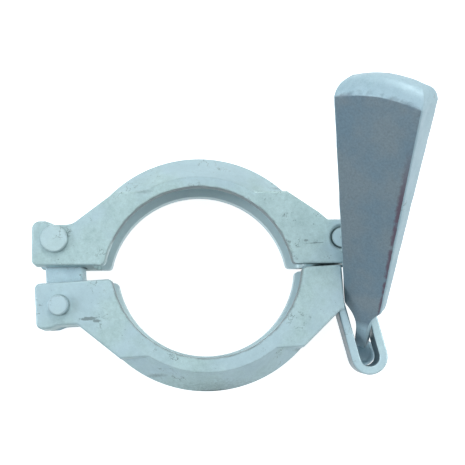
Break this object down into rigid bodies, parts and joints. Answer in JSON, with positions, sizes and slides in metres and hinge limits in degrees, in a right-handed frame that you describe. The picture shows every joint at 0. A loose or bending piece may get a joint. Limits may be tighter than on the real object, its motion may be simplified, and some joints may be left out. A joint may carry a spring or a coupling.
{
  "type": "hinged wedge-lock pipe clamp",
  "caption": "Hinged pipe clamp of forged half rings with an inner groove, joined by a link and drawn shut by a tension ring and a driven locking wedge.",
  "frame": {"origin": "on the lower half's bore axis, level with the rear faces", "axes": "+Z along the bore axis towards the front face, +X from the hinge towards the latch, the lower half on the -Y side"},
  "size_m": [0.2667, 0.1949, 0.1592],
  "materials": {
    "lower_half": "matt zinc plating",
    "upper_half": "matt zinc plating",
    "hinge_link": "matt zinc plating",
    "lower_hinge_pin": "matt zinc plating",
    "upper_hinge_pin": "matt zinc plating",
    "latch_pin": "matt zinc plating",
    "tension_ring": "matt zinc plating",
    "locking_wedge": "matt zinc plating"
  },
  "bodies": {
    "lower": {"lower_half": "lower_half", "lower_hinge_pin": "lower_hinge_pin"},
    "link": {"hinge_link": "hinge_link"},
    "upper": {"upper_half": "upper_half", "upper_hinge_pin": "upper_hinge_pin", "latch_pin": "latch_pin"},
    "ring": {"tension_ring": "tension_ring"},
    "wedge": {"locking_wedge": "locking_wedge"}
  },
  "joints": [
    {"name": "link_on_lower_half", "type": "hinge", "parent": "lower", "child": "link", "pos_m": [-0.1062, -0.0242, 0], "axis": [0, 0, 1], "range_deg": [0, 30]},
    {"name": "upper_half_on_link", "type": "hinge", "parent": "link", "child": "upper", "pos_m": [-0.10719, 0.02309, 0], "axis": [0, 0, 1], "range_deg": [0, 90]},
    {"name": "ring_on_latch_pin", "type": "hinge", "parent": "upper", "child": "ring", "pos_m": [0.0981, 0.01188, 0], "axis": [0, 0, 1], "range_deg": [0, 100]},
    {"name": "wedge_in_ring", "type": "hinge", "parent": "ring", "child": "wedge", "pos_m": [0.11346, -0.06428, 0.025], "axis": [0.9803, 0.1977, 0], "range_deg": [0, 55]}
  ]
}
